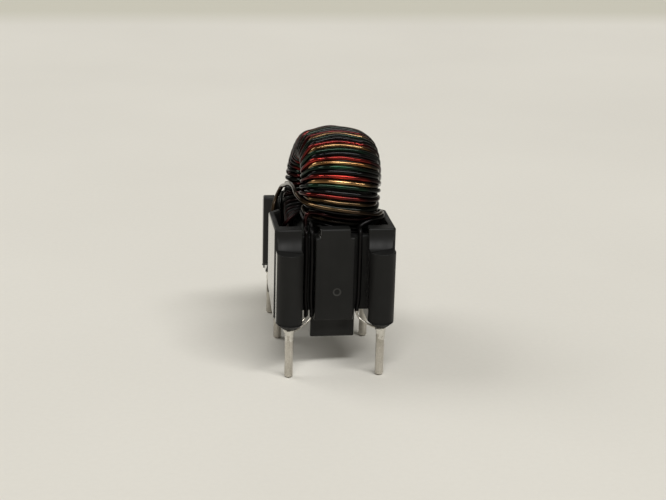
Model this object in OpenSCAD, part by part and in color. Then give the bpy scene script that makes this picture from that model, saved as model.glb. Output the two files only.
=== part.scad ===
// Pulse transformer: a ferrite ring wound with four enamelled wires stands on
// edge in an open moulded header, and its wire ends are soldered to six pins.
// X runs across the header, Y from its near end to its far end, Z upwards.
// The pin tips are at Z = 0, and the ring's axis lies along X.

/* [Pins] */
// Diameter of a round pin
pin_d = 0.7; // [0.5:0.05:0.9]
// Distance across between the two columns of pins
pin_pitch = 7.62; // [7.2:0.02:8]
// Distance from the near row of pins to the far row
row_span = 15.24; // [14.8:0.02:15.6]
// How far the middle row lies beyond the header's centre
mid_row_shift = 1.27; // [0.6:0.01:1.4]
// Free length of a pin below the header's stand-offs
pin_free = 4.35; // [3:0.05:6]
// Length of pin moulded into the header
pin_embed = 3; // [1.5:0.1:3.4]
// Height of the tapered end of a pin
pin_tip = 0.15; // [0.05:0.05:0.3]
// Side of a pin's square neck, in its solder joint and in the header
pin_neck = 0.46; // [0.36:0.02:0.48]

/* [Header] */
// Width over the near corner pockets
header_w = 10.04; // [9.9:0.02:11]
// Length over the two end faces
header_l = 13.42; // [13.2:0.02:14]
// Height from the stand-offs to the rim
header_h = 8.15; // [7.6:0.05:9]
// Thickness of the side walls
side_wall = 0.52; // [0.4:0.02:0.7]
// Thickness of the end walls at the rim
end_wall = 1.25; // [1:0.05:1.5]
// Height of the pillars' underside above their stand-off tips
pillar_lift = 0.4; // [0.2:0.05:0.8]
// Height of the middle underside above the stand-off tips
belly_lift = 2.1; // [1.6:0.05:2.4]
// Y where the near pillars end and the side slot begins
slot_near = -1.46; // [-1.8:0.02:-1.2]
// Y where the far ribs begin
slot_far = 2.9; // [2.6:0.05:3.2]
// Thickness of the far ribs
rib_t = 0.7; // [0.5:0.05:1]
// Slant of the slot's sides, measured across
slot_slant = 1.02; // [0.8:0.02:1.1]
// Width over the far corner pockets
far_w = 9.1; // [8.9:0.05:9.4]
// Height that the far corner pockets lose against the rim
far_drop = 1.1; // [0.5:0.05:1.6]
// Radius of the upright outer corners
corner_r = 0.35; // [0.2:0.05:0.45]

/* [Pin pillars] */
// Width of a near pin pillar
pillar_w = 2.2; // [2:0.01:2.35]
// Reach of a near pin pillar beyond the end face
pillar_out = 1.79; // [1.6:0.01:2]
// Width of a far pin pillar
far_pillar_w = 1.6; // [1.4:0.05:1.6]
// Depth of the pillars' ledge below the rim
ledge_drop = 1.7; // [1.2:0.05:2.2]
// Diameter of the flat tip of a stand-off
standoff_d = 1.2; // [1:0.05:1.5]
// Distance that the near pillars stand in from the sides
pillar_inset = 0.1; // [0:0.02:0.2]

/* [End plates] */
// Width of the wire grooves between plate and pillars
groove_w = 1.06; // [0.82:0.02:1.1]
// Thickness of an end plate
plate_t = 1.25; // [0.9:0.05:1.5]
// Height of the plate's lower edge above the stand-off tips
plate_lift = 0.2; // [0.1:0.05:0.4]
// Depth of the feet below the stand-off tips
foot_drop = 1.52; // [0.6:0.02:2]
// Width of a foot
foot_w = 3.72; // [3.4:0.02:4]
// Thickness of a foot, whose front is flush with the grooves' floor
foot_t = 1.2; // [0.9:0.05:1.5]
// Width of the raised middle of the plate's rim
crest_w = 2.54; // [2:0.02:3]
// Depth of the wire notches beside the crest
notch_drop = 0.75; // [0.5:0.05:1]
// Depth of the wire grooves beside the plate
groove_d = 0.75; // [0.5:0.05:0.9]
// Height of the grooves' lower end above the stand-off tips
groove_lift = 0.85; // [0.8:0.05:1.3]
// Diameter of the ejector mark
mark_d = 0.56; // [0.4:0.02:0.8]

/* [Solder joints] */
// Height of a solder joint
joint_h = 1.15; // [1:0.05:1.2]
// Bulge of a solder joint round the pin's neck
joint_r = 0.24; // [0.18:0.02:0.3]
// Gap between a solder joint and its stand-off
joint_gap = 0.02; // [0.01:0.01:0.05]

/* [Core] */
// Outer diameter of the ferrite ring
core_od = 9.5; // [9.3:0.05:9.6]
// Bore of the ferrite ring
core_id = 5.6; // [5.4:0.05:5.8]
// Width of the ferrite ring
core_h = 5; // [4.6:0.05:5.1]
// Share of the ring's wall that each rounded edge takes
edge_share = 0.46; // [0.3:0.01:0.48]
// Height of the ring's centre above the rim
ring_rise = 1.45; // [1.3:0.05:1.6]
// Distance of the ring's centre to the right of the header's centre
ring_shift = 0.5; // [0.4:0.02:0.56]
// Turn of the ring about the upright, in degrees
ring_yaw = 4; // [3:0.5:5]
// Lean of the ring to the right, in degrees
ring_lean = 8; // [7:0.5:9]

/* [Windings] */
// Diameter of the enamelled wire
wire_d = 0.36; // [0.3:0.01:0.36]
// Turns of each wire through the bore
turns = 16; // [11:1:16]
// Angle from one strand to the next round the ring, in degrees
strand_step = 4.7; // [4.65:0.05:4.9]
// Angle below the horizontal where the winding starts, at the near end
start_angle = 44; // [42:1:47]
// Gap between the core and the first layer of wire
core_gap = 0.03; // [0.01:0.01:0.06]
// Height of the wires' arch over the outside of the ring
crown = 0.32; // [0.2:0.02:0.34]
// Distance between the layers at the bore
layer_step = 0.37; // [0.36:0.01:0.4]

/* [Bedding] */
// Resin between the winding and the trough
bed_t = 0.3; // [0.2:0.05:0.4]
// Height of the resin in the corner pockets above their floor
pool_h = 2.6; // [1:0.1:3]

/* [Hidden] */
$fn = 48;
eps = 0.01;
// heights
stand_z = pin_free;
rim_z = stand_z + header_h;
ledge_z = rim_z - ledge_drop;
notch_z = rim_z - notch_drop;
foot_z = stand_z - foot_drop;
plate_z = stand_z + plate_lift;
pillar_z = stand_z + pillar_lift;
belly_z = stand_z + belly_lift;
groove_z = stand_z + groove_lift;
ring_z = rim_z + ring_rise;
// plan
half_w = header_w / 2;
half_l = header_l / 2;
slot_x = half_w - slot_slant;
pin_x = pin_pitch / 2;
row_y = [-row_span / 2, mid_row_shift, row_span / 2];
pillar_x = half_w - pillar_inset - pillar_w / 2;
pillar_cy = half_l + pillar_out - pillar_w / 2;
far_pillar_cy = half_l + pillar_out - far_pillar_w / 2;
groove_out = half_w - pillar_inset - pillar_w;
groove_in = groove_out - groove_w;
plate_w = 2 * groove_in;
inner_y = half_l - end_wall;
// wire and winding
wire_r = wire_d / 2;
wound_r = core_od / 2 + core_gap + wire_d + crown;
side_x = core_h / 2 + core_gap + wire_r;
trough_r = wound_r + bed_t;
trough_x = slot_x - 0.05;
pocket_z = stand_z + 3.1;
pocket_y = slot_near - 0.34;
slot_z = ring_z - trough_r;
tip_t = 0.2;
arch_foot = 2.4;
arch_sag = 0.45;
cone_step = 0.1;
root = 0.4;
mark_x = 0.22;
mark_z = stand_z + 2.7;
mark_depth = 0.06;
out_r = core_od / 2 + core_gap + wire_r;
bore_r = core_id / 2 - core_gap - wire_r;
ring_wall = (core_od - core_id) / 2;
core_edge = edge_share * ring_wall;
edge_x = core_h / 2 - 0.4;
bore_x = core_h / 2 - 0.2;
coil_half = core_h / 2 + 1.1;
// wires and joints
lead_steps = 3;
joint_top = stand_z - joint_gap;
joint_bottom = joint_top - joint_h;
joint_z = joint_top - joint_r;
neck_z = min(joint_bottom, foot_z) - 0.1;
joint_reach = pin_neck / 2 + joint_r + wire_r;
boss_y = mid_row_shift - far_pillar_w / 2 - wire_r + 0.01;
groove_y = half_l - groove_d + wire_r + 0.05;
groove_xa = groove_in + wire_r + 0.04;
groove_xb = min(groove_xa + wire_d + 0.12, groove_out - wire_r - 0.02);
groove_xm = (groove_xa + groove_xb) / 2;
bed_x = groove_out + 0.15;
pool_z = pocket_z + pool_h;

black = [0.09, 0.09, 0.09];
tin = [0.78, 0.76, 0.72];

// ---- header -------------------------------------------------------------

// A slab in plan with its two outer corners at y = y_edge rounded.
module end_block(w, y_in, y_edge, r) {
    s = y_edge > y_in ? 1 : -1;
    translate([-w / 2, min(y_in, y_edge - s * r)]) square([w, abs(y_edge - y_in) - r]);
    translate([-w / 2 + r, min(y_edge, y_edge - s * r)]) square([w - 2 * r, r]);
    for (side = [-1, 1]) translate([side * (w / 2 - r), y_edge - s * r]) circle(r);
}

// Outline of the tub in plan, without the pin pillars.
module tub_plan() {
    end_block(header_w, slot_near, -half_l, corner_r);
    end_block(far_w, slot_far, half_l, corner_r);
    translate([-half_w, slot_far]) square([header_w, rib_t]);
    polygon([[-half_w, slot_near], [-slot_x, slot_near + slot_slant],
        [-slot_x, slot_far - slot_slant], [-half_w, slot_far],
        [half_w, slot_far], [slot_x, slot_far - slot_slant],
        [slot_x, slot_near + slot_slant], [half_w, slot_near]]);
}

// The underside arches up between the pillars, seen from the side.
module belly_cut() {
    low_y = row_span / 2 - arch_foot;
    rotate([90, 0, 90]) translate([0, 0, -header_w]) linear_extrude(2 * header_w)
        polygon([[-low_y, 0], [-low_y, pillar_z], [slot_near, belly_z - arch_sag],
            [0, belly_z], [slot_far, belly_z], [low_y, pillar_z], [low_y, 0]]);
}

// A pin pillar: round front and a flat ledge on top.
module pillar(x, y, w, y_wall) {
    translate([x, y, pillar_z]) cylinder(d = w, h = ledge_z - pillar_z);
    translate([x - w / 2, min(y, y_wall), pillar_z])
        cube([w, abs(y - y_wall), ledge_z - pillar_z]);
}

// A stand-off: the cone under a pillar of width w, round its pin.
module standoff(x, y, w) {
    translate([x, y, stand_z]) cylinder(d1 = standoff_d, d2 = w - cone_step, h = pillar_lift);
}

// One corner pocket in plan, on the right of the near end.
module pocket_plan(w, y_in) {
    x_out = w / 2 - side_wall;
    y_slant = y_in + (x_out - trough_x);
    polygon([[groove_out, -inner_y], [x_out, -inner_y], [x_out, y_in],
        [trough_x, y_slant], [groove_out, y_slant]]);
}

// What is cut from one end; the far end is the same, turned round.
module end_cuts(pocket_w, y_in) {
    for (side = [0, 1]) mirror([side, 0, 0]) {
        // groove beside the plate, open in front and below
        translate([groove_in, -half_l - eps, 0]) cube([groove_out - groove_in, groove_d + eps, rim_z]);
        // notch that lets the wires over the rim
        translate([crest_w / 2, -half_l - eps, notch_z])
            cube([groove_out - crest_w / 2, end_wall + 1, rim_z]);
        translate([0, 0, pocket_z]) linear_extrude(rim_z) pocket_plan(pocket_w, y_in);
    }
    // clearance under the end wall between the pillars
    translate([-groove_out, -half_l - eps, 0]) cube([2 * groove_out, half_l, groove_z]);
}

// The end plate between the grooves, and the foot that stands behind it.
module end_plate() {
    translate([-plate_w / 2, -half_l, plate_z]) cube([plate_w, plate_t, notch_z - plate_z]);
    translate([-foot_w / 2, -half_l + groove_d, foot_z])
        cube([foot_w, foot_t, belly_z - foot_z]);
}

module header() color(black) difference() {
    union() {
        difference() {
            translate([0, 0, pillar_z]) linear_extrude(rim_z - pillar_z) tub_plan();
            belly_cut();
            end_cuts(header_w, pocket_y);
            rotate([0, 0, 180]) end_cuts(far_w, -slot_far - rib_t);
        }
        end_plate();
        rotate([0, 0, 180]) end_plate();
        for (side = [-1, 1]) {
            pillar(side * pillar_x, -pillar_cy, pillar_w, -half_l + root);
            pillar(side * pin_x, far_pillar_cy, far_pillar_w, half_l - root);
            translate([side * pin_x, mid_row_shift, pillar_z])
                cylinder(d = far_pillar_w, h = slot_z - pillar_z);
            standoff(side * pin_x, row_y[0], pillar_w);
            for (k = [1, 2]) standoff(side * pin_x, row_y[k], far_pillar_w);
        }
    }
    // trough that follows the round of the ring
    translate([-trough_x, 0, ring_z]) rotate([0, 90, 0]) cylinder(r = trough_r, h = 2 * trough_x);
    for (side = [0, 1]) mirror([side, 0, 0]) {
        // slot in the side wall
        translate([trough_x - 1, slot_near + slot_slant - tip_t, slot_z])
            cube([header_w, slot_far - slot_near - 2 * slot_slant + 2 * tip_t, rim_z]);
        // the far pockets are lower than the rim
        translate([groove_out, slot_far + rib_t, rim_z - far_drop]) cube([header_w, half_l, rim_z]);
        for (y = row_y) translate([pin_x, y, 0]) pin_neck_prism(0);
    }
    // ejector mark on the near end plate
    translate([mark_x, -half_l + mark_depth, mark_z]) rotate([90, 0, 0]) cylinder(d = mark_d, h = 1);
}

// ---- pins, solder joints, core ---------------------------------------------

// The square neck from a height up to its end in the header.
module pin_neck_prism(z) {
    translate([-pin_neck / 2, -pin_neck / 2, z])
        cube([pin_neck, pin_neck, stand_z + pin_embed - z]);
}

module pin(x, y) color(tin) translate([x, y, 0]) {
    cylinder(d1 = pin_d - 2 * pin_tip, d2 = pin_d, h = pin_tip);
    translate([0, 0, pin_tip]) cylinder(d = pin_d, h = neck_z - pin_tip);
    pin_neck_prism(neck_z);
}

// A drop of solder that bulges round the pin's neck under its stand-off.
module solder(x, y) color(tin) translate([x, y, 0]) difference() {
    rotate_extrude() {
        translate([0, joint_bottom]) square([pin_neck / 2, joint_h]);
        translate([0, joint_bottom + joint_r]) square([pin_neck / 2 + joint_r, joint_h - 2 * joint_r]);
        for (z = [joint_bottom + joint_r, joint_z]) translate([pin_neck / 2, z])
            intersection() {
                circle(joint_r);
                translate([0, -joint_r]) square([joint_r, 2 * joint_r]);
            }
    }
    pin_neck_prism(0);
}

module ring_frame() translate([ring_shift, 0, ring_z]) rotate([0, ring_lean, ring_yaw]) children();

module core() color([0.25, 0.26, 0.25]) ring_frame() rotate([0, 90, 0])
    rotate_extrude() translate([core_id / 2, -core_h / 2]) {
        translate([core_edge, 0]) square([ring_wall - 2 * core_edge, core_h]);
        translate([0, core_edge]) square([ring_wall, core_h - 2 * core_edge]);
        for (x = [core_edge, ring_wall - core_edge], y = [core_edge, core_h - core_edge])
            translate([x, y]) circle(core_edge);
    }

// ---- resin ----------------------------------------------------------------

module cement() color([0.03, 0.03, 0.03]) difference() {
    union() {
        // bed under the ring
        intersection() {
            translate([-bed_x, 0, ring_z]) rotate([0, 90, 0]) cylinder(r = trough_r, h = 2 * bed_x);
            translate([-bed_x, -half_l, 0]) cube([2 * bed_x, header_l, pool_z]);
        }
        // pools in the near pockets
        for (side = [0, 1]) mirror([side, 0, 0])
            translate([0, 0, pocket_z]) linear_extrude(pool_z - pocket_z)
                pocket_plan(header_w, pocket_y);
    }
    // room for the winding, whose outside falls away to the ring's faces
    ring_frame() rotate([0, 90, 0]) rotate_extrude() polygon([
        [0, -coil_half], [out_r + 0.25, -coil_half], [out_r + 0.3, -edge_x],
        [wound_r + 0.04, -1], [wound_r + 0.04, 1],
        [out_r + 0.3, edge_x], [out_r + 0.25, coil_half], [0, coil_half]]);
}

// ---- windings -------------------------------------------------------------
// Four strands lie side by side. Every other strand is lifted over its
// neighbours where the sides of the ring crowd the wires towards the bore.

// Point of the wound ring: x along its axis, r from the axis, angle a upwards
// from its near end.
function ring_point(x, r, a) = let(
    y = -r * cos(a), z = r * sin(a),
    across = x * cos(ring_lean) + z * sin(ring_lean)) [
    ring_shift + across * cos(ring_yaw) - y * sin(ring_yaw),
    across * sin(ring_yaw) + y * cos(ring_yaw),
    ring_z + z * cos(ring_lean) - x * sin(ring_lean)];

// The stations of one turn: [x, radius, share of the turn's advance].
function stations(odd) = let(
    span = out_r - bore_r,
    in_r = bore_r - odd * layer_step,
    low_r = bore_r + (0.177 - odd * 0.118) * span,
    mid_r = bore_r + 0.473 * span,
    high_r = bore_r + 0.768 * span,
    in_x = bore_x + odd * 0.2,
    low_x = side_x + 0.15 + odd * 0.38,
    mid_x = side_x + 0.17 + odd * 0.27,
    high_x = side_x + odd * 0.14) [
    [-edge_x, out_r, 0], [-edge_x / 3, out_r + crown, 0],
    [edge_x / 3, out_r + crown, 0], [edge_x, out_r, 0],
    [high_x, high_r, 0.06], [mid_x, mid_r, 0.13], [low_x, low_r, 0.2],
    [in_x, in_r, 0.27], [-in_x, in_r, 0.73],
    [-low_x, low_r, 0.8], [-mid_x, mid_r, 0.87], [-high_x, high_r, 0.94]];

// Points of strand s from station n0 to station n1, counted from its first turn.
function coil(s, n0, n1) = let(st = stations(s % 2)) [for (n = [n0 : n1])
    let(p = st[n % 12], turn = floor(n / 12))
    ring_point(p[0], p[1], strand_step * (s + 4 * (turn + p[2])) - start_angle)];

// Catmull-Rom curve from p[1] to just before p[len - 2], n points a span.
function curve(p, n) = [for (i = [1 : len(p) - 3], j = [0 : n - 1])
    let(t = j / n, a = p[i - 1], b = p[i], c = p[i + 1], d = p[i + 2])
    b + 0.5 * t * (c - a + t * (2 * a - 5 * b + 4 * c - d + t * (3 * b - a - 3 * c + d)))];

function reverse(p) = [for (i = [len(p) - 1 : -1 : 0]) p[i]];

// A lead-in runs smoothly from its outer end to the coil; a lead-out, back.
function lead(p, c0, c1) = curve(concat([2 * p[0] - p[1]], p, [c0, c1]), lead_steps);
function wire_path(p_in, c, p_out) = let(n = len(c)) concat(
    lead(p_in, c[0], c[1]), c, reverse(lead(p_out, c[n - 1], c[n - 2])));

function unit(v) = v / norm(v);
function tangent(p, i) = unit(p[min(i + 1, len(p) - 1)] - p[max(i - 1, 0)]);
function carried(v, t) = unit(v - (v * t) * t);

// A six-sided wire along a path, its section carried along without twist.
module wire(path) {
    m = len(path);
    tangents = [for (i = [0 : m - 1]) tangent(path, i)];
    sides = [for (i = 0, v = carried([0.1, 0.2, 1], tangents[0]); i < m;
        i = i + 1, v = carried(v, tangents[min(i, m - 1)])) v];
    rim = [for (i = [0 : m - 1]) let(u = sides[i], w = cross(tangents[i], u))
        for (k = [0 : 5]) path[i] + wire_r * (cos(60 * k) * u + sin(60 * k) * w)];
    skin = [for (i = [0 : m - 2], k = [0 : 5]) let(a = 6 * i + k, b = 6 * i + (k + 1) % 6)
        each [[a, a + 6, b], [b, a + 6, b + 6]]];
    caps = [for (k = [1 : 4]) each [[0, k, k + 1],
        [6 * m - 6, 6 * m - 6 + k + 1, 6 * m - 6 + k]]];
    polyhedron(rim, concat(skin, caps));
}

// From a pin along a groove of the end sy (-1 near, 1 far) to the rim's notch.
// sx is the side, gx the place in the groove, ex and ey the wire's end beside the pin.
function groove_run(sx, sy, gx, ex, ey) = [
    [sx * (pin_x - ex), sy * (row_span / 2 - ey), joint_z],
    [sx * (gx + pin_x - ex) / 2, sy * (groove_y + row_span / 2 - ey) / 2, joint_z + 0.15],
    [sx * gx, sy * (groove_y + 0.08), groove_z - 0.5],
    [sx * gx, sy * groove_y, groove_z + 1.2],
    [sx * gx, sy * groove_y, notch_z - 0.6],
    [sx * gx, sy * (groove_y - 0.2), notch_z + 0.35],
    [sx * gx, sy * (groove_y - 0.7), notch_z + 0.5]];

// From a middle pin up beside its boss to the side slot.
function slot_run(sx, x, y, ex, ey) = [
    [sx * (pin_x - ex), mid_row_shift - ey, joint_z],
    [sx * x, mid_row_shift - 1.1, joint_z + 0.5],
    [sx * x, y, belly_z - 0.3],
    [sx * x, y, slot_z - 0.5]];

module winding_red() color([0.5, 0.08, 0.08]) wire(wire_path(
    concat(groove_run(-1, -1, groove_xb, 0.42, 0.5), [
        [-groove_xb + 0.1, -groove_y + 0.75, notch_z + 1.7]]),
    coil(3, 12, 12 * turns + 9),
    concat(slot_run(-1, slot_x + 0.22, boss_y, 0, joint_reach), [
        [-slot_x - 0.22, 0.15, slot_z + 0.6],
        [-slot_x - 0.1, -0.05, slot_z + 1.5],
        [-slot_x + 0.3, -0.65, slot_z + 2.3],
        [-slot_x + 0.45, -1.15, slot_z + 3.1]])));

module winding_natural() color([0.62, 0.42, 0.2]) wire(wire_path(
    concat(slot_run(-1, slot_x + 0.62, boss_y + 0.15, -0.46, 0.47), [
        [-slot_x - 0.5, 0.7, rim_z - 1.8],
        [-slot_x - 0.25, 1.3, rim_z - 0.1],
        ring_point(-coil_half - 0.15, 2.9, 200),
        ring_point(-coil_half - 0.2, 1.4, 186),
        ring_point(-coil_half - 0.5, 2.9, 22),
        ring_point(-coil_half - 0.45, 4.5, 9),
        ring_point(-3.55, 5.3, 2.4),
        ring_point(-2.4, wound_r + 0.25, -0.5),
        ring_point(-0.4, wound_r + 0.25, -1.9),
        ring_point(1.5, wound_r + 0.22, -2.6),
        ring_point(2.8, 5.3, -4),
        ring_point(coil_half - 0.15, 4.4, -5),
        ring_point(coil_half - 0.4, 4.3, -27)]),
    coil(2, 5, 12 * turns + 3),
    concat(slot_run(1, slot_x + 0.22, boss_y, 0, joint_reach), [
        [slot_x + 0.2, 0.35, slot_z + 0.3],
        [slot_x - 0.4, 0.55, slot_z + 0.65]])));

module winding_green() color([0.04, 0.28, 0.16]) wire(wire_path(
    concat(groove_run(-1, -1, groove_xa, joint_reach, -0.02), [
        [-groove_xa + 0.03, -groove_y + 1.05, notch_z + 0.8]]),
    coil(1, 12, 12 * turns + 10),
    concat(groove_run(-1, 1, groove_xm, 0.53, 0.43), [
        ring_point(-3.1, 5.05, 203),
        ring_point(-3.35, 5, 230),
        ring_point(-3.35, 5, 262),
        ring_point(-3.2, 4.6, 278)])));

module winding_dark() color([0.1, 0.09, 0.09]) wire(wire_path(
    concat(groove_run(1, -1, groove_xm, 0.53, 0.43), [
        [groove_xb + 0.7, -groove_y + 1.1, rim_z + 0.2],
        [half_w - 0.5, -4.3, rim_z + 0.28],
        [half_w - 0.32, -3.3, rim_z + 0.35],
        [half_w - 0.7, -2.3, rim_z + 0.1]]),
    coil(0, 6, 12 * turns + 3),
    concat(groove_run(1, 1, groove_xm, 0.53, 0.43), [
        ring_point(3.1, 5.05, 203),
        ring_point(3.35, 5, 230),
        ring_point(3.3, 5, 258)])));

// ---- assembly ---------------------------------------------------------------

module pin_near_left() pin(-pin_x, row_y[0]);
module pin_near_right() pin(pin_x, row_y[0]);
module pin_mid_left() pin(-pin_x, row_y[1]);
module pin_mid_right() pin(pin_x, row_y[1]);
module pin_far_left() pin(-pin_x, row_y[2]);
module pin_far_right() pin(pin_x, row_y[2]);
module solder_near_left() solder(-pin_x, row_y[0]);
module solder_near_right() solder(pin_x, row_y[0]);
module solder_mid_left() solder(-pin_x, row_y[1]);
module solder_mid_right() solder(pin_x, row_y[1]);
module solder_far_left() solder(-pin_x, row_y[2]);
module solder_far_right() solder(pin_x, row_y[2]);

header();
pin_near_left();
pin_near_right();
pin_mid_left();
pin_mid_right();
pin_far_left();
pin_far_right();
core();
winding_red();
winding_natural();
winding_green();
winding_dark();
solder_near_left();
solder_near_right();
solder_mid_left();
solder_mid_right();
solder_far_left();
solder_far_right();
cement();
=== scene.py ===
# %% [markdown]
# # A pulse transformer on six pins
# A small ferrite ring, wound with four enamelled wires at once, stands on edge
# in an open black moulding. The wire ends run down grooves to six round pins.
# The rigid pieces come from the packed model, which is loaded as a fixed frame.
# What the eye needs beyond it is made here: round glossy wires, the moulding's
# soft edges, tinned pins, lumps of solder and the poured resin.

# %% Load the packed model
import math
import random
import bmesh
import bpy
from mathutils import Matrix, Vector, noise


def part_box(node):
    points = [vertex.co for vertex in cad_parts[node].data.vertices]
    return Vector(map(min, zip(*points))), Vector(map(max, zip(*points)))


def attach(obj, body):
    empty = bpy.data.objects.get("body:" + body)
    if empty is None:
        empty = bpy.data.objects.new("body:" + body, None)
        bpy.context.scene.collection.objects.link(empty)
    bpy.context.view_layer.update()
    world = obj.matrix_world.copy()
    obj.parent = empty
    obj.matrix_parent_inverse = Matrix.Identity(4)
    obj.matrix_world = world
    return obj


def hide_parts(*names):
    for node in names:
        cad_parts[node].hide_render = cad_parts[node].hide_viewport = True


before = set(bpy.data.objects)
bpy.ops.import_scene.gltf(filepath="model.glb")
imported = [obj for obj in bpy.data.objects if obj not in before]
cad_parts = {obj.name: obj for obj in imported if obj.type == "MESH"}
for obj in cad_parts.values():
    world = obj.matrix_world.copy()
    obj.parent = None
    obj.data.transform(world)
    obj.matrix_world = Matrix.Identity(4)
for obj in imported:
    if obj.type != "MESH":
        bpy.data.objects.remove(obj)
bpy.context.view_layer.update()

MM = 0.001

# %% [markdown]
# ## The camera
# The view is from just above the near end, a little to the left, through a long
# lens. It could be aimed with a Track To constraint, but that can't roll it. So
# it is placed from three facts: how far it looks down and to the side, how much
# it is rolled, and how far it then stands back, right and up, in its own
# directions.

# %% Camera
LOOK_DOWN = 0.32144
LOOK_LEFT = -0.14686
ROLL = 0.02729
LENS = 86.486486
STAND_BACK, MOVE_RIGHT, MOVE_UP = 140.857, 0.99, 8.06326


def camera_axes():
    """Right, up and forward directions of the rolled camera."""
    right = Vector((math.cos(LOOK_LEFT), math.sin(LOOK_LEFT), 0))
    level = Vector((-math.sin(LOOK_LEFT), math.cos(LOOK_LEFT), 0))
    forward = level * math.cos(LOOK_DOWN) - Vector((0, 0, 1)) * math.sin(LOOK_DOWN)
    up = Vector((0, 0, 1)) * math.cos(LOOK_DOWN) + level * math.sin(LOOK_DOWN)
    return (right * math.cos(ROLL) + up * math.sin(ROLL),
            up * math.cos(ROLL) - right * math.sin(ROLL), forward)


cam_right, cam_up, cam_forward = camera_axes()
cam_place = (MOVE_RIGHT * cam_right + MOVE_UP * cam_up - STAND_BACK * cam_forward) * MM
camera_data = bpy.data.cameras.new("camera")
camera_data.sensor_width = 36
camera_data.lens = LENS
camera_data.clip_start = 0.005
camera_data.clip_end = 20
camera = bpy.data.objects.new("camera", camera_data)
camera.matrix_world = Matrix.Translation(cam_place) @ Matrix(
    (cam_right, cam_up, -cam_forward)).transposed().to_4x4()
bpy.context.scene.collection.objects.link(camera)
bpy.context.scene.camera = camera
print("camera at", [round(c / MM, 1) for c in cam_place], "mm, lens", round(LENS, 1))

# %% [markdown]
# ## Small helpers
# Every new piece is linked, rides on the body, stands for some CAD nodes and takes its
# materials. One helper does all four, so no piece can be forgotten.

# %% Piece helper
def add_piece(mesh, name, materials, slot, *nodes):
    """Make an object of a mesh, riding on the body and standing for CAD nodes."""
    piece = bpy.data.objects.new(name, mesh)
    bpy.context.scene.collection.objects.link(piece)
    for material in materials:
        mesh.materials.append(material)
    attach(piece, "root")
    if nodes:
        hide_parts(*nodes)
    print(name, "triangles:", sum(len(p.vertices) - 2 for p in mesh.polygons))
    return piece


def centre_of(node):
    """Middle of a CAD node's box."""
    low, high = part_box(node)
    return (low + high) / 2


# %% [markdown]
# A material is a small network of nodes. Each could be added and linked line by
# line, but then the network hides the recipe. This class starts a material and
# adds a node with its values in one call, which keeps the recipes below short
# enough to read.

# %% Start a material
class Network:
    """A node material with its shader, Object coordinates and short wiring calls."""

    def __init__(self, name, colour, roughness, metallic=0.0):
        self.material = bpy.data.materials.new(name)
        self.material.use_nodes = True
        self.tree = self.material.node_tree
        self.shader = self.tree.nodes["Principled BSDF"]
        self.shader.inputs["Base Color"].default_value = (*colour, 1)
        self.shader.inputs["Roughness"].default_value = roughness
        self.shader.inputs["Metallic"].default_value = metallic
        self.place = self.node("ShaderNodeTexCoord").outputs["Object"]

    def node(self, kind, **inputs):
        """Add a node; each keyword sets an input or links a socket to it."""
        made = self.tree.nodes.new(kind)
        for key, value in inputs.items():
            socket = made.inputs[key.replace("_", " ")]
            if isinstance(value, bpy.types.NodeSocket):
                self.tree.links.new(value, socket)
            else:
                socket.default_value = value
        return made

    def drive(self, socket, value):
        """Link a socket of the shader."""
        self.tree.links.new(value, self.shader.inputs[socket])

    def bump(self, height, depth, strength=1.0):
        """Bump; depth is the height of the relief in millimetres."""
        made = self.node("ShaderNodeBump", Height=height, Distance=depth * MM,
                         Strength=strength)
        self.drive("Normal", made.outputs["Normal"])


# %% [markdown]
# Almost every finish here is some noise, turned into colours by a ramp and mixed
# with another. Painted textures could do the same, but they need an unwrapped
# mesh and a file each. Noise on Object coordinates sits still on any shape.

# %% Patterns for a material
class Finish(Network):
    """A network that can also make noise, colour ramps and mixes."""

    def noise(self, scale, detail=4.0, stretch=(1, 1, 1)):
        """Noise on the piece; scale is in patches per millimetre."""
        mapping = self.node("ShaderNodeMapping", Vector=self.place, Scale=stretch)
        made = self.node("ShaderNodeTexNoise", Vector=mapping.outputs["Vector"],
                         Scale=scale / MM, Detail=detail)
        return made.outputs["Fac"]

    def ramp(self, fac, *stops):
        """Colour ramp; each stop is a place and a grey or a colour."""
        made = self.node("ShaderNodeValToRGB", Fac=fac)
        elements = made.color_ramp.elements
        while len(elements) < len(stops):
            elements.new(0.5)
        for element, (place, colour) in zip(elements, stops):
            grey = isinstance(colour, (int, float))
            element.position = place
            element.color = (colour, colour, colour, 1) if grey else (*colour, 1)
        return made.outputs["Color"]

    def mix(self, fac, first, second):
        """Mix two colours by a factor."""
        made = self.tree.nodes.new("ShaderNodeMix")
        made.data_type = "RGBA"
        for socket, value in ((made.inputs[0], fac), (made.inputs[6], first),
                              (made.inputs[7], second)):
            if isinstance(value, bpy.types.NodeSocket):
                self.tree.links.new(value, socket)
            elif isinstance(value, (int, float)):
                socket.default_value = value
            else:
                socket.default_value = (*value, 1)
        return made.outputs[2]


print("a finish can make:", [call for call in vars(Finish) if not call.startswith("_")])

# %% [markdown]
# ## Black moulded plastic
# The header is moulded in a glass-filled black plastic. The ends came from a
# sparked mould and are dull. The long side walls came from polished plates, so
# seen along the wall they mirror the pale sheet. Two recipes of one function
# give both. Three noises bring the unevenness: a broad one for colour, one
# stretched along the walls for flow marks, and a tiny one as grain. An ejector
# pin has left a scuffed ring on the near end plate. It is drawn by the distance
# from its centre, because a ring that thin needs no mesh of its own.

# %% Ejector mark
PLATE_Y = 6.71
MARK = Vector((0.22, -PLATE_Y, 7.05)) * MM
MARK_RING = ((0.2, 0), (0.26, 1), (0.31, 1), (0.37, 0))


def mark_ring(finish):
    """Mask of the scuffed ring round the ejector mark; its stops are radii in mm."""
    away = finish.node("ShaderNodeVectorMath")
    away.operation = "DISTANCE"
    finish.tree.links.new(finish.place, away.inputs[0])
    away.inputs[1].default_value = MARK
    share = finish.node("ShaderNodeMapRange", Value=away.outputs["Value"], From_Max=MM)
    return finish.ramp(share.outputs["Result"], *MARK_RING)


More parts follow.
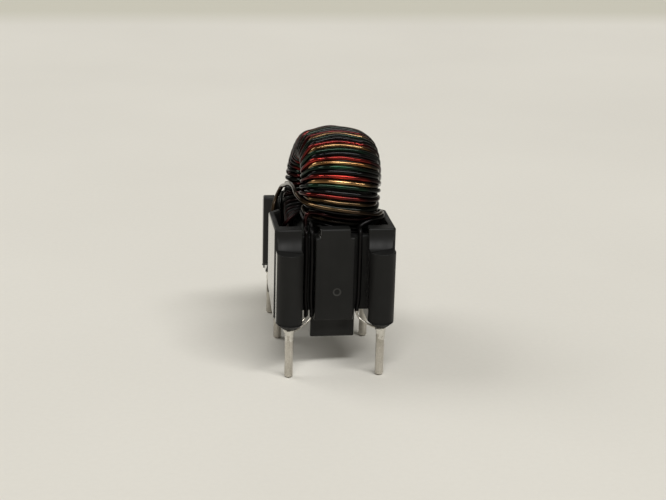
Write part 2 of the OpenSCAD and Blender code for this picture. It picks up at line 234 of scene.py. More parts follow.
print("ejector mark at", [round(c / MM, 2) for c in MARK])

# %% [markdown]
# The plastic itself takes three settings, so that the dull ends and the polished
# sides come from one recipe: how rough it is, how strongly it mirrors, and how
# much of a glossy skin lies over it. A second material is simpler than a mask
# here, because whole faces belong to the one or the other.

# %% Header plastic
SCUFFED = (0.045, 0.045, 0.042)


def header_plastic(name, rough, gloss, skin):
    """Black plastic: range of roughness, level of its gloss and weight of its skin."""
    finish = Finish(name, (0.006, 0.006, 0.0058), rough[0])
    cloud = finish.noise(0.35, 5)
    flow = finish.noise(0.9, 3, (1, 1, 0.25))
    grain = finish.noise(14, 2)
    body = finish.ramp(cloud, (0.3, (0.0045, 0.0045, 0.0042)), (0.7, (0.008, 0.008, 0.0075)))
    finish.drive("Base Color", finish.mix(mark_ring(finish), body, SCUFFED))
    finish.drive("Roughness", finish.ramp(flow, (0.3, rough[0]), (0.7, rough[1])))
    finish.bump(finish.mix(0.7, finish.mix(0.5, cloud, flow), grain), 0.006, 0.5)
    finish.shader.inputs["Specular IOR Level"].default_value = gloss
    finish.shader.inputs["Coat Weight"].default_value = skin
    finish.shader.inputs["Coat Roughness"].default_value = 0.1
    return finish.material


plastic = header_plastic("header_plastic", (0.46, 0.62), 0.25, 0.0)
polished = header_plastic("header_polished", (0.12, 0.2), 0.5, 1.0)
print("made", plastic.name, "and", polished.name)

# %% [markdown]
# ## Enamelled wire
# Magnet wire is copper under a thin clear or tinted varnish. Light passes the varnish, meets
# the metal and comes back coloured. So the base is a metal in the varnish's colour and a clear
# coat lies over it. Away from the rows that stand out, the wires get a painted shade of near
# black: on the two faces of the ring, low down, in the grooves and at the very top. Two masks
# say where: one by the height, one by the distance from the middle of the leaning ring.

# %% Where the rows are free of painted shade
RING = centre_of("core")
RING_LEAN = math.radians(8)
# Painted shade: the wire is darkened towards the faces of the ring, low down and at the very
# top.
UNSHADED_HALF, SHADED_HALF = 2.0 * MM, 2.85 * MM
ROWS_LOW, ROWS_HIGH = 12 * MM, 20 * MM
ROWS = ((0.05, 0.0), (0.27, 0.12), (0.42, 0.6), (0.5, 1.0), (0.66, 1.0), (0.8, 0.7),
        (0.9, 0.22))
DULL_ROWS = ((0.06, 1), (0.16, 0))
FACE_TINT = (0.05, 0.05, 0.05)


def painted_shade_masks(finish):
    """Two masks: how much of the rows' colour shows through the painted shade, and where they
    lie low enough to turn dull.
    """
    turned = finish.node("ShaderNodeMapping", Vector=finish.place,
                         Rotation=(0, -RING_LEAN, 0),
                         Location=(RING.z * math.sin(RING_LEAN), 0, 0))
    across = finish.node("ShaderNodeSeparateXYZ", Vector=turned.outputs["Vector"])
    size = finish.node("ShaderNodeMath", Value=across.outputs["X"])
    size.operation = "ABSOLUTE"
    side = finish.node("ShaderNodeMapRange", Value=size.outputs["Value"],
                       From_Min=SHADED_HALF, From_Max=UNSHADED_HALF)
    up = finish.node("ShaderNodeSeparateXYZ", Vector=finish.place)
    height = finish.node("ShaderNodeMapRange", Value=up.outputs["Z"],
                         From_Min=ROWS_LOW, From_Max=ROWS_HIGH)
    rows = finish.ramp(height.outputs["Result"], *ROWS)
    dull = finish.ramp(height.outputs["Result"], *DULL_ROWS)
    return finish.mix(side.outputs["Result"], FACE_TINT, rows), dull


print("rows run from", round(ROWS_LOW / MM), "to", round(ROWS_HIGH / MM), "mm up")

# %% [markdown]
# Each wire has a deep and a light tone of its colour, and noise wanders between them along the
# wire, as the thickness of real varnish does. Where the masks above say so, a painted shade of
# near black covers both.

# %% Enamels
# Near black, painted on the wire as shade where the rows don't show.
PAINTED_SHADE = (0.004, 0.0035, 0.0035)
DULL_ROUGH = (0.5, 0.5, 0.5)
ENAMELS = {
    "red": ((0.10, 0.008, 0.007), (0.36, 0.028, 0.019), 0.95),
    "natural": ((0.15, 0.065, 0.019), (0.60, 0.37, 0.16), 0.95),
    "green": ((0.002, 0.010, 0.005), (0.007, 0.042, 0.018), 0.8),
    "dark": ((0.003, 0.0027, 0.003), (0.009, 0.007, 0.008), 0.8),
}


def enamel(name, deep, light, metallic):
    """Varnished wire between a deep and a light tone, painted near black as shade off the
    rows.
    """
    finish = Finish("enamel_" + name, deep, 0.15, metallic)
    tint = finish.ramp(finish.noise(0.6, 1), (0.35, deep), (0.65, light))
    clear, dull = painted_shade_masks(finish)
    finish.drive("Base Color", finish.mix(clear, PAINTED_SHADE, tint))
    gloss = finish.ramp(finish.noise(0.5, 1), (0.3, 0.09), (0.7, 0.14))
    finish.drive("Roughness", finish.mix(dull, gloss, DULL_ROUGH))
    finish.bump(finish.noise(0.8, 1), 0.003, 0.25)
    coat = finish.shader.inputs
    coat["Coat Weight"].default_value = 0.1
    coat["Coat Roughness"].default_value = 0.05
    coat["Coat IOR"].default_value = 1.5
    return finish.material


enamels = {name: enamel(name, *recipe) for name, recipe in ENAMELS.items()}
print("made", len(enamels), "enamels")

# %% [markdown]
# ## Tin and solder
# The pins and the bare ends of the wires are hot-dipped in tin. It dries dull,
# with soft runs along the metal and darker spots where the coat is thin. Solder
# is brighter and lumpy. Both are metals whose roughness wanders.

# %% Tinned metal
def tinned(name, low, high, rough, relief):
    """Dipped metal: its darker and lighter tone, range of roughness and relief."""
    finish = Finish(name, low, rough[0], 1.0)
    runs = finish.noise(1.6, 5, (1, 1, 0.3))
    specks = finish.noise(11, 3)
    finish.drive("Base Color", finish.ramp(
        finish.mix(0.35, runs, specks), (0.3, low), (0.62, high)))
    finish.drive("Roughness", finish.ramp(runs, (0.3, rough[0]), (0.7, rough[1])))
    finish.bump(finish.mix(0.4, runs, specks), relief, 0.8)
    return finish.material


tin = tinned("pin_tin", (0.34, 0.315, 0.27), (0.66, 0.63, 0.575), (0.28, 0.46), 0.025)
solder_metal = tinned("solder_metal", (0.5, 0.48, 0.44), (0.8, 0.78, 0.73), (0.14, 0.3), 0.05)
print("made", tin.name, "and", solder_metal.name)

# %% [markdown]
# ## Coated ferrite and resin
# The ring under the wires has a dull grey coat with a grain like fine sand. The
# resin that beds it was poured, so it is glossy, gently wavy and full of small
# pits, which catch the light as sparks.

# %% Ferrite and resin
def ferrite_coat():
    """Dull grey coat with a sandy grain."""
    finish = Finish("ferrite_coat", (0.045, 0.047, 0.045), 0.6)
    grain = finish.noise(12, 5)
    finish.drive("Base Color", finish.ramp(
        grain, (0.3, (0.03, 0.032, 0.03)), (0.7, (0.07, 0.072, 0.068))))
    finish.bump(grain, 0.02, 0.7)
    return finish.material


def poured_resin():
    """Glossy black resin with slow waves and small pits."""
    finish = Finish("poured_resin", (0.006, 0.006, 0.0065), 0.12)
    waves = finish.noise(0.9, 2)
    pits = finish.noise(5.5, 3)
    finish.drive("Roughness", finish.ramp(pits, (0.35, 0.06), (0.7, 0.3)))
    finish.drive("Base Color", finish.ramp(
        waves, (0.3, (0.004, 0.004, 0.0045)), (0.7, (0.012, 0.0115, 0.011))))
    finish.bump(finish.mix(0.45, waves, finish.ramp(pits, (0.55, 0), (0.75, 1))), 0.12, 0.9)
    return finish.material


ferrite = ferrite_coat()
resin = poured_resin()
for node_name, material in (("core", ferrite), ("cement", resin)):
    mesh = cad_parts[node_name].data
    mesh.materials.clear()
    mesh.materials.append(material)
print("core and cement keep their CAD shapes")

# %% [markdown]
# ## The moulded header
# Its walls and pillars come straight from the CAD solid, but no moulding has
# knife edges. A copy of the CAD mesh is merged, the slivers that a round face
# was cut into are joined again, and a Bevel modifier rounds the outer edges.
# The modifier's own overlap guard would give the whole part the width that its
# smallest detail can take, which is almost nothing. So each edge gets a weight
# here, from the room that its two faces have.

# %% Room beside an edge
EDGE_ENDS = (0.08, 0.5, 0.92)
LEAST_ROOM = 0.0001 * MM


def room_beside(face, edge):
    """Width of a face, measured square to one of its edges at three places."""
    first, last = (v.co for v in edge.verts)
    along = (last - first).normalized()
    inward = face.normal.cross(along)
    if next(c for c in face.loops if c.edge == edge).vert != edge.verts[0]:
        inward.negate()
    room = 1.0
    for share in EDGE_ENDS:
        start = first.lerp(last, share)
        for other in face.edges:
            a, b = (v.co - start for v in other.verts)
            if other == edge or (a.dot(along) > 0) == (b.dot(along) > 0):
                continue
            depth = a.lerp(b, a.dot(along) / (a - b).dot(along)).dot(inward)
            if depth > LEAST_ROOM:
                room = min(room, depth)
    return room


print("room is measured at", EDGE_ENDS, "of an edge")

# %% [markdown]
# Two edges in a row with different weights would leave a step where they meet.
# The smaller weight is handed along such a row until nothing changes any more.

# %% Even out the weights
STRAIGHT_ON = -math.cos(math.radians(40))


def even_out(shape, weight):
    """Edges that follow each other nearly straight take the smaller weight."""
    changed = True
    while changed:
        changed = False
        for v in shape.verts:
            round_edges = [e for e in v.link_edges if e[weight] > 0]
            for k, e in enumerate(round_edges):
                for f in round_edges[k + 1:]:
                    ahead = (e.other_vert(v).co - v.co).normalized()
                    behind = (f.other_vert(v).co - v.co).normalized()
                    if ahead.dot(behind) < STRAIGHT_ON and abs(e[weight] - f[weight]) > 1e-4:
                        e[weight] = f[weight] = min(e[weight], f[weight])
                        changed = True


print("edges within", round(math.degrees(math.acos(-STRAIGHT_ON))), "degrees share a weight")

# %% [markdown]
# Now the copy is made and weighted. The faces that look straight to a side take
# the polished plastic. A Weighted Normal modifier after the bevel keeps the wide
# faces flat in the light, where plain smooth shading would show their triangles.

# %% Header with soft edges
EDGE_ROUND = 0.16 * MM
MERGE_GAP = 0.002 * MM
SLIVER_ANGLE = math.radians(4.5)
SHARP_ANGLE = math.radians(28)
ROOM_SHARE = 0.45
FLAT_SIDE = 0.99


def soft_header():
    """Merged copy of the CAD header with bevel weights and two materials."""
    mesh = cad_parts["header"].data.copy()
    mesh.materials.clear()
    shape = bmesh.new()
    shape.from_mesh(mesh)
    bmesh.ops.remove_doubles(shape, verts=shape.verts, dist=MERGE_GAP)
    bmesh.ops.dissolve_limit(shape, angle_limit=SLIVER_ANGLE, verts=shape.verts,
                             edges=shape.edges)
    shape.normal_update()
    weight = shape.edges.layers.float.new("bevel_weight_edge")
    for edge in shape.edges:
        if edge.is_convex and edge.calc_face_angle(0) > SHARP_ANGLE:
            room = min(room_beside(face, edge) for face in edge.link_faces)
            edge[weight] = min(1.0, ROOM_SHARE * room / EDGE_ROUND)
    even_out(shape, weight)
    for face in shape.faces:
        face.material_index = 1 if abs(face.normal.x) > FLAT_SIDE else 0
    full = sum(e.calc_length() for e in shape.edges if e[weight] > 0.99)
    every = sum(e.calc_length() for e in shape.edges if e[weight] > 0)
    print("edges rounded in full:", round(full / every * 100), "% of their length")
    shape.to_mesh(mesh)
    shape.free()
    mesh.name = "header_soft"
    return mesh


header = add_piece(soft_header(), "header_soft", [plastic, polished], "header", "header")
rounding = header.modifiers.new("soft_edges", "BEVEL")
rounding.width = EDGE_ROUND
rounding.segments = 3
rounding.limit_method = "WEIGHT"
rounding.use_clamp_overlap = False
header.data.polygons.foreach_set("use_smooth", [True] * len(header.data.polygons))
header.data.set_sharp_from_angle(angle=SHARP_ANGLE)
flats = header.modifiers.new("flat_faces", "WEIGHTED_NORMAL")
flats.keep_sharp = True

# %% [markdown]
# ## The wound ring
# Four wires lie side by side and go round the ring together, sixteen times. One
# turn is a loop through fourteen stations: over the outside, down the right
# face, back through the bore and up the left face. Every other wire steps over
# its neighbours where the faces crowd them. A skin of bumps on a plain ring would
# be lighter, but its rows would stay flat at the edge of the coil. A curve with a
# round bevel keeps each wire round and its thickness true.

# %% Ring and wire sizes
RING_YAW = math.radians(4)
WIRE = 0.36
CORE_OUT, CORE_IN, CORE_WIDE = 9.5 / 2, 5.6 / 2, 5.0
CORE_GAP = 0.03
CROWN = 0.28
LAYER = 0.37
FACE_DEPTH = 1.1
TOP_ROOM = 0.32
STRAND_STEP = 4.7
START_ANGLE = 44
TURNS = 16

wound_out = CORE_OUT + CORE_GAP + WIRE / 2
wound_in = CORE_IN - CORE_GAP - WIRE / 2
wound_side = CORE_WIDE / 2 + CORE_GAP + WIRE / 2
wound_top = CORE_OUT + CORE_GAP + WIRE + TOP_ROOM
coil_half = CORE_WIDE / 2 + FACE_DEPTH
print("ring centre", [round(c / MM, 2) for c in RING])


def ring_point(x, r, angle):
    """Point of the leaning ring, in mm: along its axis, from it, and up from the near end."""
    a = math.radians(angle)
    y, z = -r * math.cos(a), r * math.sin(a)
    across = x * math.cos(RING_LEAN) + z * math.sin(RING_LEAN)
    return Vector((
        RING.x / MM + across * math.cos(RING_YAW) - y * math.sin(RING_YAW),
        RING.y / MM + across * math.sin(RING_YAW) + y * math.cos(RING_YAW),
        RING.z / MM + z * math.cos(RING_LEAN) - x * math.sin(RING_LEAN)))


# %% [markdown]
# The stations of one turn are the same for all wires, apart from the step over
# the neighbours. A station says how far along the axis it lies, how far from it,
# and how much of the turn's advance is done there. The way back mirrors the way
# out, with the left shoulder drawn in a little, as the wires are pulled there.

# %% One turn
def stations(odd):
    """Places of one turn: along the axis, radius, share of the turn's advance."""
    span = wound_out - wound_in
    bore = wound_in - odd * LAYER
    edge = CORE_WIDE / 2 - 0.4
    half = [(edge / 3, wound_out + CROWN, 0), (edge, wound_out, 0),
            (wound_side + odd * 0.14, wound_in + 0.768 * span, 0.06),
            (wound_side + 0.17 + odd * 0.27, wound_in + 0.473 * span, 0.13),
            (wound_side + 0.15 + odd * 0.38, wound_in + (0.177 - odd * 0.118) * span, 0.2),
            (CORE_WIDE / 2 - 0.2 + odd * 0.2, bore, 0.27), (0.8, bore, 0.42)]
    back = [(-x, r, 1 - share) for x, r, share in reversed(half)]
    back[-2] = (0.2 - edge, wound_out - 0.1, 1)
    return half + back


LOOP = len(stations(0))
print("one turn has", LOOP, "stations")

# %% [markdown]
# No hand winds evenly, so each turn is set off a little along the ring, and its
# crown lies a little higher or lower. The amounts are random with a seed, which
# gives the same coil each time, and small, so that the rows stay in their order.

# %% One coil
TURN_SHIFT = 0.45
TURN_LIFT = (-0.07, 0.03)
BORE_MARGIN = 0.6


def coil(strand, first, last, seed):
    """Points of a strand between two stations, counted from its first turn."""
    wander = random.Random(seed)
    turn_shift = [wander.uniform(-TURN_SHIFT, TURN_SHIFT) for _ in range(TURNS + 3)]
    turn_lift = [wander.uniform(*TURN_LIFT) for _ in range(TURNS + 3)]
    points = []
    for n in range(first, last + 1):
        turn, place = divmod(n, LOOP)
        x, r, share = stations(strand % 2)[place]
        angle = STRAND_STEP * (strand + 4 * (turn + share)) - START_ANGLE
        if r > wound_in + BORE_MARGIN:
            angle += turn_shift[turn] * (1 - share) + turn_shift[turn + 1] * share
        on_crown = r > wound_out - 0.01 and abs(x) < 1
        points.append(ring_point(x, r + (turn_lift[turn] if on_crown else 0), angle))
    return points


print("one strand passes", LOOP * TURNS, "stations")

# %% [markdown]
# The ends of the wires leave the ring, cross the rim and run down to the pins.
# Some lie in the grooves beside the end plates, others go through the slots in
# the side walls. The pins and the rim are read from the frame, and the heights
# between them are counted from the underside of the stand-offs.

# %% Places on the header
PIN_X = abs(centre_of("pin_near_left").x) / MM
PIN_NEAR = abs(centre_of("pin_near_left").y) / MM
PIN_MID = centre_of("pin_mid_left").y / MM
HEADER_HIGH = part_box("header")[1]
HALF_W = HEADER_HIGH.x / MM
RIM_Z = HEADER_HIGH.z / MM
NOTCH_Z = RIM_Z - 0.75
STAND_Z = 4.35
JOINT_Z = STAND_Z - 0.26
GROOVE_Z = STAND_Z + 0.85
BELLY_Z = STAND_Z + 2.1
SLOT_X = HALF_W - 1.02
SLOT_Z = RING.z / MM - wound_top - 0.3
PLATE_THICK = 0.75
GROOVE_WALL_X = 1.66
GROOVE_Y = PLATE_Y - PLATE_THICK + WIRE / 2 + 0.05
GROOVE_INNER = GROOVE_WALL_X + WIRE / 2 + 0.04
GROOVE_OUTER = GROOVE_INNER + WIRE + 0.12
GROOVE_MIDDLE = (GROOVE_INNER + GROOVE_OUTER) / 2
print("rim at", round(RIM_Z, 2), "mm, slots from", round(SLOT_Z, 2), "mm up")

# %% [markdown]
# Each run is a list of places from the pin upwards, given one by one. One function gives all
# the groove runs and another the slot runs, because they differ only in their side, their end
# and where they meet the joint.

# %% Runs from the pins
JOINT_REACH = 0.65
INTO_JOINT = 0.62


def places(*points):
    """Places in mm as vectors."""
    return [Vector(p) for p in points]


def groove_run(side, end, x, end_x, end_y):
    """From an outer pin along a groove of an end plate to the notch in the rim."""
    start_x, start_y = PIN_X - end_x * INTO_JOINT, PIN_NEAR - end_y * INTO_JOINT
    return places(
        (side * start_x, end * start_y, JOINT_Z),
        (side * (x + start_x) / 2, end * (GROOVE_Y + start_y) / 2, JOINT_Z + 0.15),
        (side * x, end * (GROOVE_Y + 0.08), GROOVE_Z - 0.5),
        (side * x, end * GROOVE_Y, GROOVE_Z + 1.2),
        (side * x, end * GROOVE_Y, NOTCH_Z - 0.6),
        (side * x, end * (GROOVE_Y - 0.2), NOTCH_Z + 0.35),
        (side * x, end * (GROOVE_Y - 0.7), NOTCH_Z + 0.5))


def slot_run(side, x, y, end_x, end_y):
    """From a middle pin up beside its boss to the slot in the side wall."""
    return places(
        (side * (PIN_X - end_x * INTO_JOINT), PIN_MID - end_y * INTO_JOINT, JOINT_Z),
        (side * x, PIN_MID - 1.1, JOINT_Z + 0.5),
        (side * x, y, BELLY_Z - 0.3),
        (side * x, y, SLOT_Z - 0.5))


print("a groove run has", len(groove_run(1, 1, GROOVE_MIDDLE, 0, 0)), "places")

# %% [markdown]
# Now the four wires. Each has a way in, its turns on the ring and a way out, and
# both ways are listed from the pin inwards. The three numbers between them are
# the strand's place in the row of four and its first and last station. Red and
# natural go out to the left and right slots; green and dark end at the far pins.

# %% The four routes
LAST_TURN = LOOP * TURNS
ROUTES = {
    "red": (
        groove_run(-1, -1, GROOVE_OUTER, 0.42, 0.5)
        + places((-GROOVE_OUTER + 0.1, -GROOVE_Y + 0.75, NOTCH_Z + 1.7)),
        (3, 12, LAST_TURN + 9),
        slot_run(-1, SLOT_X + 0.22, 0.3, 0, JOINT_REACH)
        + places((-SLOT_X - 0.22, 0.15, SLOT_Z + 0.6), (-SLOT_X - 0.1, -0.05, SLOT_Z + 1.5),
                 (-SLOT_X + 0.3, -0.65, SLOT_Z + 2.3), (-SLOT_X + 0.45, -1.15, SLOT_Z + 3.1))),
    "natural": (
        slot_run(-1, SLOT_X + 0.62, 0.45, -0.46, 0.47)
        + places((-SLOT_X - 0.5, 0.7, RIM_Z - 1.8), (-SLOT_X - 0.25, 1.3, RIM_Z - 0.1))
        + [ring_point(-coil_half - 0.15, 2.9, 200),
           ring_point(-coil_half - 0.2, 1.4, 197),
           ring_point(-coil_half - 0.35, 2.95, 12),
           ring_point(-coil_half - 0.3, 4.4, 4.5),
           ring_point(-3.45, 5.2, 0.8),
           ring_point(-2.4, wound_top + 0.25, -0.5),
           ring_point(-0.4, wound_top + 0.25, -1.9),
           ring_point(1.5, wound_top + 0.22, -2.6),
           ring_point(2.8, 5.3, -4),
           ring_point(coil_half - 0.15, 4.4, -5),
           ring_point(coil_half - 0.4, 4.3, -27)],
        (2, 3, LAST_TURN + 1),
        slot_run(1, SLOT_X + 0.22, 0.3, 0, JOINT_REACH)
        + places((SLOT_X + 0.2, 0.35, SLOT_Z + 0.3), (SLOT_X - 0.4, 0.55, SLOT_Z + 0.65))),
    "green": (
        groove_run(-1, -1, GROOVE_INNER, JOINT_REACH, -0.02)
        + places((-GROOVE_INNER + 0.03, -GROOVE_Y + 1.05, NOTCH_Z + 0.8)),
        (1, 12, LAST_TURN + 10),
        groove_run(-1, 1, GROOVE_MIDDLE, 0.53, 0.43)
        + [ring_point(-3.1, 5.05, 203), ring_point(-3.35, 5, 230),
           ring_point(-3.35, 5, 262), ring_point(-3.2, 4.6, 278)]),
    "dark": (
        groove_run(1, -1, GROOVE_MIDDLE, 0.53, 0.43)
        + places((GROOVE_OUTER + 0.7, -GROOVE_Y + 1.1, RIM_Z + 0.2),
                 (HALF_W - 0.85, -4.3, RIM_Z + 0.28), (HALF_W - 0.7, -3.3, RIM_Z + 0.35),
                 (HALF_W - 0.95, -2.3, RIM_Z + 0.1)),
        (0, 4, LAST_TURN + 1),
        groove_run(1, 1, GROOVE_MIDDLE, 0.53, 0.43)
        + [ring_point(3.1, 5.05, 203), ring_point(3.35, 5, 230), ring_point(3.3, 5, 258)]),
}
print("routes:", ", ".join(ROUTES))

# %% [markdown]
# A smooth curve through unevenly spaced points needs care: the usual spline
# swings out where a short step meets a long one. Weighing the two directions at
# each point by the steps' lengths keeps the wire tight on the ring.

# %% Smooth curve through the route
def smooth(points, steps):
    """Points of a smooth curve through uneven points, with steps to a span."""
    gaps = [max((b - a).length, 1e-6) for a, b in zip(points, points[1:])]
    slopes = [(b - a) / g for a, b, g in zip(points, points[1:], gaps)]
    tangents = [slopes[0]]
    for before, after, g0, g1 in zip(slopes, slopes[1:], gaps, gaps[1:]):
        tangents.append((before * g1 + after * g0) / (g0 + g1))
    tangents.append(slopes[-1])
    made = []
    for i, gap in enumerate(gaps):
        for step in range(steps):
            t = step / steps
            made.append(
                points[i] * (2 * t ** 3 - 3 * t ** 2 + 1)
                + tangents[i] * gap * (t ** 3 - 2 * t ** 2 + t)
                + points[i + 1] * (3 * t ** 2 - 2 * t ** 3)
                + tangents[i + 1] * gap * (t ** 3 - t ** 2))
    return made + [points[-1]]


corner = smooth(places((0, 0, 0), (1, 0, 0), (1, 3, 0)), 4)
print("a corner swings out by", round(max(p.x for p in corner) - 1, 3))

# %% [markdown]
# A curve with a bevel depth is the simplest round wire. It is turned into a mesh
# at once, so that its faces can carry two materials. Below the height where the
# enamel is stripped the points get a smaller radius, because the bare ends are
# finer than the coated wire.

# %% Round wire
BARE_SHARE = 0.5


def tube(points, radius, name, sides=20, thin_below=None):
    """Mesh of a round wire through points in mm; it thins below a height."""
    data = bpy.data.curves.new(name, "CURVE")
    data.dimensions = "3D"
    data.bevel_depth = radius * MM
    data.bevel_resolution = (sides - 4) // 2
    data.use_fill_caps = True
    spline = data.splines.new("POLY")
    spline.points.add(len(points) - 1)
    for target, point in zip(spline.points, points):
        target.co = (*(point * MM), 1)
        if thin_below and point.z < thin_below:
            target.radius = BARE_SHARE
    holder = bpy.data.objects.new(name, data)
    mesh = bpy.data.meshes.new_from_object(holder)
    bpy.data.objects.remove(holder)
    bpy.data.curves.remove(data)
    mesh.name = name
    mesh.polygons.foreach_set("use_smooth", [True] * len(mesh.polygons))
    return mesh


# %% [markdown]
# The lowest part of each wire has lost its enamel and was dipped in solder, so
# its faces below that height take the tin instead.

# %% Wind the four wires
BARE_Z = {"red": 4.75, "natural": 4.7, "green": 4.8, "dark": 5.1}
FIRST_SEED = 20
SPAN_STEPS = 6
for seed, (name, (way_in, (strand, first, last), way_out)) in enumerate(ROUTES.items()):
    turns = coil(strand, first, last, FIRST_SEED + seed)
    path = smooth(way_in + turns + way_out[::-1], SPAN_STEPS)
    mesh = tube(path, WIRE / 2, "wire_" + name, thin_below=BARE_Z[name])
    for face in mesh.polygons:
        face.material_index = 1 if face.center.z < BARE_Z[name] * MM else 0
    add_piece(mesh, "wire_" + name, [enamels[name], tin], "enamel_" + name,
              "winding_" + name)

# %% [markdown]
# ## Pins
# A pin is drawn wire cut to length: straight, with an end rounded by the tinning
# bath. A cylinder with a bevelled end would come close, but a spun outline gives
# the tip its own curve, and the solder below uses the same helper.

# %% Spin an outline
SEAM_GAP = 0.0005 * MM


def spun(outline, segments):
    """Closed shape of revolution round Z from an outline of (radius, height) in mm."""
    shape = bmesh.new()
    verts = [shape.verts.new((r * MM, 0, z * MM)) for r, z in outline]
    edges = [shape.edges.new(pair) for pair in zip(verts, verts[1:])]
    bmesh.ops.spin(shape, geom=verts + edges, cent=(0, 0, 0), axis=(0, 0, 1),
                   angle=2 * math.pi, steps=segments, use_merge=True)
    bmesh.ops.remove_doubles(shape, verts=shape.verts, dist=SEAM_GAP)
    bmesh.ops.recalc_face_normals(shape, faces=shape.faces)
    return shape


def finish_mesh(shape, name, place):
    """Move a bmesh to its place and turn it into a smooth-shaded mesh."""
    bmesh.ops.translate(shape, verts=shape.verts, vec=place)
    mesh = bpy.data.meshes.new(name)
    shape.to_mesh(mesh)
    shape.free()
    mesh.polygons.foreach_set("use_smooth", [True] * len(mesh.polygons))
    return mesh


print("seams closer than", SEAM_GAP / MM, "mm are closed")

# %% [markdown]
# The tin makes a pin a little uneven, so the rings of its mesh are drawn in by a
# smooth noise, which is stretched along the pin. Inside the moulding the pin goes
# on as a square neck, which nothing shows. There the spun pin is only made
# thinner, so that it can't come through the plastic.

# %% Pins
PIN_R = 0.35
PIN_TOP = STAND_Z + 2.9
PIN_RINGS = 24
PIN_WEAR = 0.04
WEAR_SIZE = 0.9 * MM
WEAR_STRETCH = 0.4
NECK_SHARE = 0.8


def pin_outline(radius, top):
    """Rounded tip, then rings up the shank."""
    tip = [(radius * math.sin(a), radius * 0.55 * (1 - math.cos(a)))
           for a in [math.radians(15 * k) for k in range(7)]]
    tip[0] = (0, 0)
    shank = [(radius, 0.2 + (top - 0.2) * k / PIN_RINGS) for k in range(1, PIN_RINGS + 1)]
    return tip + shank + [(0, top)]


for node_name in [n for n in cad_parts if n.startswith("pin_")]:
    shape = spun(pin_outline(PIN_R, PIN_TOP), 24)
    for v in shape.verts:
        along = Vector((v.co.x, v.co.y, v.co.z * WEAR_STRETCH)) / WEAR_SIZE
        swell = noise.noise(along + RING / MM)
        share = 1 - PIN_WEAR * abs(swell) if v.co.z < STAND_Z * MM else NECK_SHARE
        v.co.x *= share
        v.co.y *= share
    middle = centre_of(node_name)
    mesh = finish_mesh(shape, node_name + "_tinned", Vector((middle.x, middle.y, 0)))
    add_piece(mesh, node_name + "_tinned", [tin], "tinned", node_name)

# %% [markdown]
# ## Solder joints
# Each wire end is wrapped round its pin under the stand-off and dipped, and the
# solder runs a little way down the pin. Metaballs would melt into such a drop by
# themselves, but their size is hard to hold. So it is a spun outline whose
# surface is pushed in by noise, and no two joints look the same.

# %% Drop of solder
LUMP_SIZE = 0.3 * MM
LUMP_DEPTH = 0.08
LUMP_GAIN = 1.8
SOLDER_OUTLINE = ((0.34, 0.0), (0.353, 0.05), (0.36, 0.3), (0.375, 0.52), (0.41, 0.66),
                  (0.455, 0.77), (0.468, 0.87), (0.44, 0.95), (0.36, 0.99), (0.2, 1.0))


def solder_drop(seed, low, high):
    """A lumpy spun drop of solder between two heights."""
    outline = [(0, low)] + [(r, low + share * (high - low)) for r, share in SOLDER_OUTLINE]
    shape = spun(outline + [(0, high)], 28)
    bmesh.ops.subdivide_edges(shape, edges=shape.edges, cuts=1, use_grid_fill=True)
    offset = Vector((seed * 3.7, seed * 1.3, 0))
    for v in shape.verts:
        push = noise.noise(v.co / LUMP_SIZE + offset)
        share = 1 - LUMP_DEPTH * max(-1.0, min(1.0, push * LUMP_GAIN))
        v.co.x *= share
        v.co.y *= share
    return shape


print("a drop is", round(2 * max(r for r, _ in SOLDER_OUTLINE), 2), "mm wide")

# %% [markdown]
# The wrap is a helix, made by the same tube as the wires, just under the top of
# the drop, where it shows through the solder as a ridge. It joins the drop's
# mesh, because in the real joint the two can't be told apart.

# %% Wrap and joints
WRAP_WIRE = 0.085
WRAP_R = 0.375
WRAP_TURNS = 1.7
WRAP_LOW, WRAP_HIGH = 0.34, 0.1


def wrap_points(turns, radius, low, high):
    """Points of a helix round a pin."""
    count = int(turns * 16)
    return [Vector((radius * math.cos(2 * math.pi * turns * k / count),
                    radius * math.sin(2 * math.pi * turns * k / count),
                    low + (high - low) * k / count)) for k in range(count + 1)]


for seed, node_name in enumerate(n for n in sorted(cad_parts) if n.startswith("solder_")):
    low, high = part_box(node_name)
    middle = (low + high) / 2
    top = high.z / MM
    drop = solder_drop(seed, low.z / MM, top)
    helix = wrap_points(WRAP_TURNS, WRAP_R, top - WRAP_LOW, top - WRAP_HIGH)
    wrap = tube(helix, WRAP_WIRE, "wrap", 8)
    drop.from_mesh(wrap)
    mesh = finish_mesh(drop, node_name + "_joint", Vector((middle.x, middle.y, 0)))
    bpy.data.meshes.remove(wrap)
    add_piece(mesh, node_name + "_joint", [solder_metal], "solder", node_name)

# %% [markdown]
# ## The pale sheet
# The part stands on a sheet of pale paper. A wide plane under the pin tips takes
# its shadow. Its colour wanders a little, and it turns darker behind the part,
# where the sheet ends. The edge is blurred in the colour, because a camera that
# is sharp on the part leaves it soft.

# %% Floor
FLOOR_HALF = 3.0
SHEET_END = 0.151
END_BLUR = 0.014
BEYOND = (0.585, 0.57, 0.49)


def paper():
    """Pale matt sheet with faint clouds and fibres, darker beyond its far end."""
    finish = Finish("pale_paper", (0.69, 0.67, 0.62), 0.85)
    cloud = finish.noise(0.02, 4)
    fibre = finish.noise(2.2, 3)
    sheet = finish.ramp(finish.mix(0.25, cloud, fibre), (0.35, (0.675, 0.655, 0.602)),
                        (0.65, (0.715, 0.695, 0.64)))
    split = finish.node("ShaderNodeSeparateXYZ", Vector=finish.place)
    far = finish.node("ShaderNodeMapRange", Value=split.outputs["Y"],
                      From_Min=SHEET_END, From_Max=SHEET_END + END_BLUR)
    finish.drive("Base Color", finish.mix(far.outputs["Result"], sheet, BEYOND))
    finish.bump(fibre, 0.02, 0.3)
    return finish.material


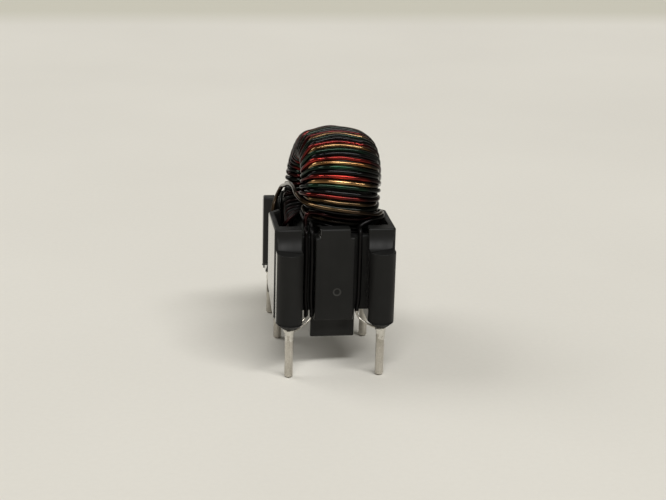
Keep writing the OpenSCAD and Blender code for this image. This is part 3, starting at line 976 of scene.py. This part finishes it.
shape = bmesh.new()
bmesh.ops.create_grid(shape, x_segments=2, y_segments=2, size=FLOOR_HALF)
floor_mesh = bpy.data.meshes.new("floor")
shape.to_mesh(floor_mesh)
shape.free()
floor_mesh.materials.append(paper())
floor = bpy.data.objects.new("floor", floor_mesh)
bpy.context.scene.collection.objects.link(floor)
print("floor spans", 2 * FLOOR_HALF, "m")

# %% [markdown]
# ## Light
# Varnished wire is dark where it mirrors a dark room, and shows its colour only
# where it mirrors a lamp. So the room is kept dim. A long ceiling panel stands
# above and in front, a little to the right: its length draws a long thin glint
# along the top of every wire and softens the shadow to both sides. A wide, weaker
# window on the left opens the dark parts, and a faint wall of light behind
# brightens what is seen at a flat angle. All three stand some three metres away,
# so that the sheet is lit evenly.

# %% Lamps and world
def lamp(name, place, target, size, watts, colour):
    """A rectangular area lamp at a place, turned to a target; size is (along, across)."""
    data = bpy.data.lights.new(name, "AREA")
    data.shape = "RECTANGLE"
    data.size, data.size_y = size
    data.energy = watts
    data.color = colour
    made = bpy.data.objects.new(name, data)
    place, target = Vector(place), Vector(target)
    made.matrix_world = Matrix.Translation(place) @ (
        (place - target).to_track_quat("Z", "Y").to_matrix().to_4x4())
    bpy.context.scene.collection.objects.link(made)
    return made


TARGET = (0, 0, 0.008)
lamp("ceiling_panel", (0.45, -1.6, 2.6), TARGET, (2.9, 0.45), 83, (1.0, 0.995, 0.985))
lamp("window", (-2.0, 0.9, 2.0), TARGET, (2.0, 1.6), 28, (1.0, 0.995, 0.985))
lamp("back_wall", (0.3, 3.0, 1.1), TARGET, (3.0, 1.6), 7, (1.0, 0.985, 0.95))
world = bpy.data.worlds.new("studio")
world.use_nodes = True
backdrop = world.node_tree.nodes["Background"].inputs
backdrop["Color"].default_value = (1.0, 0.945, 0.80, 1)
backdrop["Strength"].default_value = 0.17
bpy.context.scene.world = world
bpy.context.scene.view_settings.view_transform = "Standard"

# %% [markdown]
